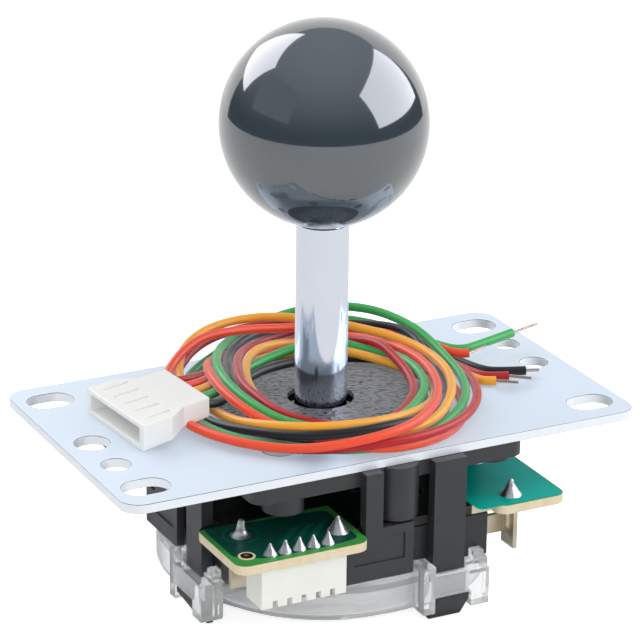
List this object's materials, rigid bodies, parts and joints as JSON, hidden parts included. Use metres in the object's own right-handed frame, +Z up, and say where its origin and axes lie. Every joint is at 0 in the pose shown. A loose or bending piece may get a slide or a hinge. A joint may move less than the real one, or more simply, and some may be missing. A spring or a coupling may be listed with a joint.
{
  "type": "arcade joystick lever",
  "caption": "Arcade joystick lever: ball-topped shaft on a steel plate, sprung pivot, four lever microswitches on a round board, clear square gate and coiled wire lead.",
  "frame": {"origin": "lever axis at the mounting plate's top face", "axes": "+X along the plate's long side, +Y across it away from the viewer, +Z up along the shaft"},
  "size_m": [0.0952, 0.0615, 0.0977],
  "materials": {
    "zinc_steel": "bright zinc plate",
    "screw_steel": "plain",
    "black_plastic": "satin, moulded",
    "black_washer": "fine crinkle",
    "acetal": "satin",
    "bushing_plastic": "satin",
    "spring_steel": "plain",
    "chrome_steel": "polished",
    "knob_plastic": "glossy",
    "insert_brass": "turned",
    "board_laminate": "green solder mask",
    "header_plastic": "moulded",
    "tinned_metal": "tinned",
    "solder": "satin",
    "case_plastic": "moulded",
    "lever_steel": "plain",
    "plunger_plastic": "satin",
    "clear_plastic": "clear",
    "connector_plastic": "translucent white",
    "coil_vinyl": "wound wires in five colours",
    "green_vinyl": "satin",
    "orange_vinyl": "satin",
    "black_vinyl": "satin",
    "red_vinyl": "satin",
    "amber_vinyl": "satin",
    "tinned_copper": "bare strands"
  },
  "bodies": {
    "base": {"mounting_plate": "zinc_steel", "plate_screws": "screw_steel", "housing": "black_plastic", "dust_washer": "black_washer", "spring_seat": "black_plastic", "centring_spring": "spring_steel", "circuit_board": "board_laminate", "header_shell": "header_plastic", "header_pins": "tinned_metal", "solder_joints": "solder", "gate_frame": "clear_plastic", "gate_insert": "clear_plastic", "harness_connector": "connector_plastic", "connector_contacts": "tinned_metal", "harness_coil": "coil_vinyl", "green_tail": "green_vinyl", "orange_tail": "orange_vinyl", "black_tail": "black_vinyl", "red_tail": "red_vinyl", "amber_tail": "amber_vinyl", "bare_strands": "tinned_copper", "switch_case_front": "case_plastic", "switch_case_right": "case_plastic", "switch_case_back": "case_plastic", "switch_case_left": "case_plastic", "switch_terminals_front": "tinned_metal", "switch_terminals_right": "tinned_metal", "switch_terminals_back": "tinned_metal", "switch_terminals_left": "tinned_metal"},
    "tilt_side": {"pivot_bushing": "bushing_plastic"},
    "tilt_fore": {"pivot_ball": "acetal", "actuator": "black_plastic"},
    "stick": {"shaft": "chrome_steel", "ball_top": "knob_plastic", "ball_insert": "insert_brass", "thrust_washer": "screw_steel", "e_clip": "spring_steel"},
    "lever_front": {"switch_lever_front": "lever_steel"},
    "plunger_front": {"switch_plunger_front": "plunger_plastic"},
    "lever_right": {"switch_lever_right": "lever_steel"},
    "plunger_right": {"switch_plunger_right": "plunger_plastic"},
    "lever_back": {"switch_lever_back": "lever_steel"},
    "plunger_back": {"switch_plunger_back": "plunger_plastic"},
    "lever_left": {"switch_lever_left": "lever_steel"},
    "plunger_left": {"switch_plunger_left": "plunger_plastic"}
  },
  "joints": [
    {"name": "tilt_fore_aft", "type": "hinge", "parent": "base", "child": "tilt_side", "pos_m": [0, 0, -0.005], "axis": [1, 0, 0], "range_deg": [-6, 6], "stiffness_Nm_per_rad": 0.8, "deforming": ["centring_spring"]},
    {"name": "tilt_left_right", "type": "hinge", "parent": "tilt_side", "child": "tilt_fore", "pos_m": [0, 0, -0.005], "axis": [0, 1, 0], "range_deg": [-6, 6], "stiffness_Nm_per_rad": 0.8},
    {"name": "shaft_spin", "type": "hinge", "parent": "tilt_fore", "child": "stick", "pos_m": [0, 0, 0.03], "axis": [0, 0, 1], "continuous": true},
    {"name": "lever_press_front", "type": "hinge", "parent": "base", "child": "lever_front", "pos_m": [0.0168, -0.012, -0.0175], "axis": [0, 0, 1], "range_deg": [0, 3.2], "stiffness_Nm_per_rad": 0.2},
    {"name": "plunger_push_front", "type": "slide", "parent": "base", "child": "plunger_front", "axis": [0, -1, 0], "range_m": [0, 0.0006]},
    {"name": "lever_press_right", "type": "hinge", "parent": "base", "child": "lever_right", "pos_m": [0.012, 0.0168, -0.0175], "axis": [0, 0, 1], "range_deg": [0, 3.2], "stiffness_Nm_per_rad": 0.2},
    {"name": "plunger_push_right", "type": "slide", "parent": "base", "child": "plunger_right", "axis": [1, 0, 0], "range_m": [0, 0.0006]},
    {"name": "lever_press_back", "type": "hinge", "parent": "base", "child": "lever_back", "pos_m": [-0.0168, 0.012, -0.0175], "axis": [0, 0, 1], "range_deg": [0, 3.2], "stiffness_Nm_per_rad": 0.2},
    {"name": "plunger_push_back", "type": "slide", "parent": "base", "child": "plunger_back", "axis": [0, 1, 0], "range_m": [0, 0.0006]},
    {"name": "lever_press_left", "type": "hinge", "parent": "base", "child": "lever_left", "pos_m": [-0.012, -0.0168, -0.0175], "axis": [0, 0, 1], "range_deg": [0, 3.2], "stiffness_Nm_per_rad": 0.2},
    {"name": "plunger_push_left", "type": "slide", "parent": "base", "child": "plunger_left", "axis": [-1, 0, 0], "range_m": [0, 0.0006]}
  ],
  "couplings": [
    {"joint": "plunger_push_front", "follows": "lever_press_front", "m_per_rad": 0.0103},
    {"joint": "plunger_push_right", "follows": "lever_press_right", "m_per_rad": 0.0103},
    {"joint": "plunger_push_back", "follows": "lever_press_back", "m_per_rad": 0.0103},
    {"joint": "plunger_push_left", "follows": "lever_press_left", "m_per_rad": 0.0103}
  ]
}
